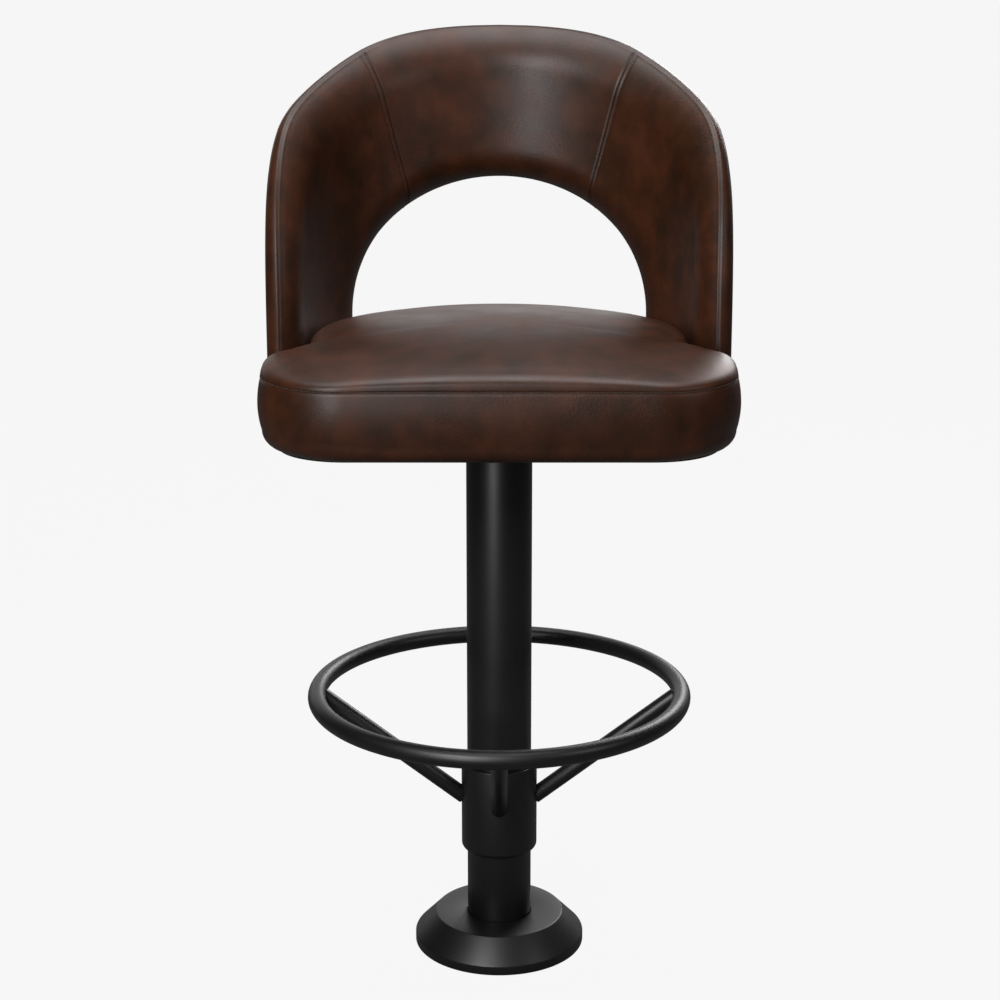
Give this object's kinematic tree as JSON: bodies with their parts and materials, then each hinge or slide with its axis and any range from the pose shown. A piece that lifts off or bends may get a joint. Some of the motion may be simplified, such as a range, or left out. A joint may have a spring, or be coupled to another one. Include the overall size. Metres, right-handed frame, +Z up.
{
  "type": "bolt-down bar stool",
  "caption": "Swivel bar stool with a padded barrel back over a half-round opening, a padded seat, a foot ring on a clamped sleeve and a column that bolts to the floor under a cover.",
  "frame": {"origin": "on the floor, at the centre of the floor plate's bolt circle, on the column's axis", "axes": "+Z up along the column, the sitter faces -Y, +X to the sitter's left"},
  "size_m": [0.5264, 0.5158, 1.0767],
  "materials": {
    "black_powder_coat": "satin black powder coat",
    "plain_steel": "zinc plated",
    "bronze": "sintered, oiled",
    "nylon": "machined",
    "plywood": "raw",
    "foam": "open-cell foam",
    "brown_leather": "antiqued dark brown, semi-gloss",
    "dust_cloth": "non-woven cloth"
  },
  "bodies": {
    "pedestal": {"floor_plate": "black_powder_coat", "column_tube": "black_powder_coat", "swivel_housing": "plain_steel", "lower_bush": "bronze", "upper_bush": "bronze", "thrust_washer": "nylon"},
    "trim_cover": {"base_cover": "black_powder_coat"},
    "foot_rest": {"ring_sleeve": "black_powder_coat", "foot_ring": "black_powder_coat", "spoke_right": "black_powder_coat", "spoke_rear": "black_powder_coat", "spoke_left": "black_powder_coat", "spoke_front": "black_powder_coat", "clamp_screws": "plain_steel"},
    "seat": {"seat_plate": "black_powder_coat", "back_bracket_right": "black_powder_coat", "back_bracket_left": "black_powder_coat", "keeper_washer": "plain_steel", "swivel_spindle": "plain_steel", "retaining_clip": "plain_steel", "plate_washers": "plain_steel", "plate_bolts": "plain_steel", "seat_tee_nuts": "plain_steel", "bracket_screws": "plain_steel", "back_bolts": "plain_steel", "back_tee_nuts": "plain_steel", "seat_board": "plywood", "back_shell": "plywood", "seat_foam": "foam", "back_inner_foam": "foam", "back_outer_foam": "foam", "seat_top_panel": "brown_leather", "seat_boxing": "brown_leather", "outside_back": "brown_leather", "back_lining_centre": "brown_leather", "back_lining_right": "brown_leather", "back_lining_left": "brown_leather", "dust_cover": "dust_cloth"}
  },
  "joints": [
    {"name": "seat_swivel", "type": "hinge", "parent": "pedestal", "child": "seat", "pos_m": [0, 0, 0.6], "axis": [0, 0, 1], "continuous": true},
    {"name": "ring_height", "type": "slide", "parent": "pedestal", "child": "foot_rest", "axis": [0, 0, 1], "range_m": [-0.025, 0.15]},
    {"name": "cover_lift", "type": "slide", "parent": "pedestal", "child": "trim_cover", "axis": [0, 0, 1], "range_m": [0, 0.055]}
  ]
}
